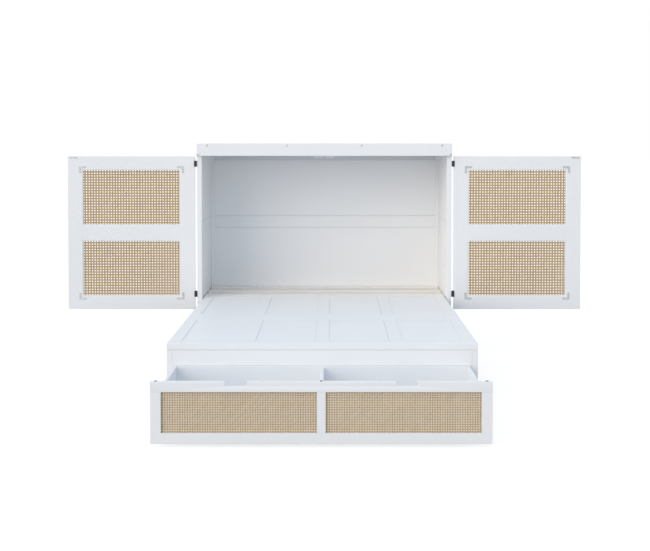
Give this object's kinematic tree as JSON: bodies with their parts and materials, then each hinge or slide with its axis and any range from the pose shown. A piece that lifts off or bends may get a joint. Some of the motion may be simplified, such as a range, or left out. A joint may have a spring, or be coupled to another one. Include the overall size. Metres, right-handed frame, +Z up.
{
  "type": "wall bed",
  "caption": "White cabinet wall bed, opened out: cane doors swung back, folding panelled deck, wood slats and a rolling base with a wide cane-fronted drawer.",
  "frame": {"origin": "floor level, at the centre of the opened-out bed's footprint", "axes": "+X across the bed to the viewer's right, +Y from the drawer towards the wall, +Z up"},
  "size_m": [3.306, 2.579, 1.375],
  "materials": {
    "white_paint": "satin paint",
    "slat_wood": "planed, unfinished",
    "cane": "woven cane",
    "black_metal": "satin black",
    "grey_steel": "zinc plated",
    "grey_plastic": "moulded",
    "white_plastic": "moulded",
    "felt": "pressed felt"
  },
  "bodies": {
    "cabinet": {"left_side_boards": "white_paint", "right_side_boards": "white_paint", "top_panel": "white_paint", "top_fascia": "white_paint", "fascia_fasteners": "grey_steel", "fascia_rail": "white_paint", "magnetic_catches": "white_plastic", "back_boards": "white_paint", "back_mid_rail": "white_paint", "corner_battens": "white_paint", "glides": "grey_plastic", "slat_ledgers": "grey_steel", "slat_1": "slat_wood", "slat_2": "slat_wood", "slat_3": "slat_wood", "deck_pivot_pins": "grey_steel", "door_hinge_leaves": "black_metal"},
    "left_door": {"left_door_stiles": "white_paint", "left_door_rails": "white_paint", "left_door_cane": "cane", "left_door_cane_beads": "white_paint", "left_door_brackets": "grey_steel", "left_door_strike_plate": "grey_steel", "left_door_hinges": "black_metal"},
    "right_door": {"right_door_stiles": "white_paint", "right_door_rails": "white_paint", "right_door_cane": "cane", "right_door_cane_beads": "white_paint", "right_door_brackets": "grey_steel", "right_door_strike_plate": "grey_steel", "right_door_hinges": "black_metal"},
    "rear_deck": {"rear_deck_rails": "white_paint", "rear_deck_stiles": "white_paint", "rear_deck_panels": "white_paint", "rear_deck_fold_hinges": "grey_steel"},
    "front_deck": {"front_deck_rails": "white_paint", "front_deck_stiles": "white_paint", "front_deck_panels": "white_paint", "front_deck_fold_hinges": "grey_steel"},
    "rolling_base": {"base_sides": "white_paint", "base_front_rail": "white_paint", "base_back_board": "white_paint", "deck_rest_pads": "felt", "caster_forks": "grey_steel", "slide_outer_members": "grey_steel"},
    "slide_middles": {"slide_middle_members": "grey_steel"},
    "drawer": {"drawer_front_top_rail": "white_paint", "drawer_front_frame": "white_paint", "drawer_cane": "cane", "drawer_bolt_caps": "grey_plastic", "drawer_sides": "white_paint", "drawer_inner_front": "white_paint", "drawer_back": "white_paint", "drawer_bottom": "white_paint", "drawer_divider": "white_paint", "slide_inner_members": "grey_steel"},
    "left_front_wheel": {"left_front_wheel": "grey_plastic"},
    "left_rear_wheel": {"left_rear_wheel": "grey_plastic"},
    "right_front_wheel": {"right_front_wheel": "grey_plastic"},
    "right_rear_wheel": {"right_rear_wheel": "grey_plastic"}
  },
  "joints": [
    {"name": "left_door_swing", "type": "hinge", "parent": "cabinet", "child": "left_door", "pos_m": [-0.827, 0.7195, 0.8], "axis": [0, 0, 1], "range_deg": [0, 90]},
    {"name": "right_door_swing", "type": "hinge", "parent": "cabinet", "child": "right_door", "pos_m": [0.827, 0.7195, 0.8], "axis": [0, 0, -1], "range_deg": [0, 90]},
    {"name": "deck_lift", "type": "hinge", "parent": "cabinet", "child": "rear_deck", "pos_m": [0, 0.8005, 0.362], "axis": [-1, 0, 0], "range_deg": [0, 88]},
    {"name": "deck_fold", "type": "hinge", "parent": "rear_deck", "child": "front_deck", "pos_m": [0, 0.008, 0.347], "axis": [-1, 0, 0], "range_deg": [-176, 0]},
    {"name": "base_roll", "type": "slide", "parent": "cabinet", "child": "rolling_base", "axis": [0, 1, 0], "range_m": [0, 1.525]},
    {"name": "drawer_slide", "type": "slide", "parent": "rolling_base", "child": "drawer", "axis": [0, 1, 0], "range_m": [0, 0.484]},
    {"name": "slide_middle_travel", "type": "slide", "parent": "rolling_base", "child": "slide_middles", "axis": [0, 1, 0], "range_m": [0, 0.242]},
    {"name": "left_front_wheel_spin", "type": "hinge", "parent": "rolling_base", "child": "left_front_wheel", "pos_m": [-0.768, -0.7145, 0.018], "axis": [1, 0, 0], "continuous": true},
    {"name": "left_rear_wheel_spin", "type": "hinge", "parent": "rolling_base", "child": "left_rear_wheel", "pos_m": [-0.768, -0.3445, 0.018], "axis": [1, 0, 0], "continuous": true},
    {"name": "right_front_wheel_spin", "type": "hinge", "parent": "rolling_base", "child": "right_front_wheel", "pos_m": [0.768, -0.7145, 0.018], "axis": [1, 0, 0], "continuous": true},
    {"name": "right_rear_wheel_spin", "type": "hinge", "parent": "rolling_base", "child": "right_rear_wheel", "pos_m": [0.768, -0.3445, 0.018], "axis": [1, 0, 0], "continuous": true}
  ],
  "couplings": [
    {"joint": "deck_fold", "follows": "deck_lift", "ratio": -2},
    {"joint": "slide_middle_travel", "follows": "drawer_slide", "ratio": 0.5}
  ]
}
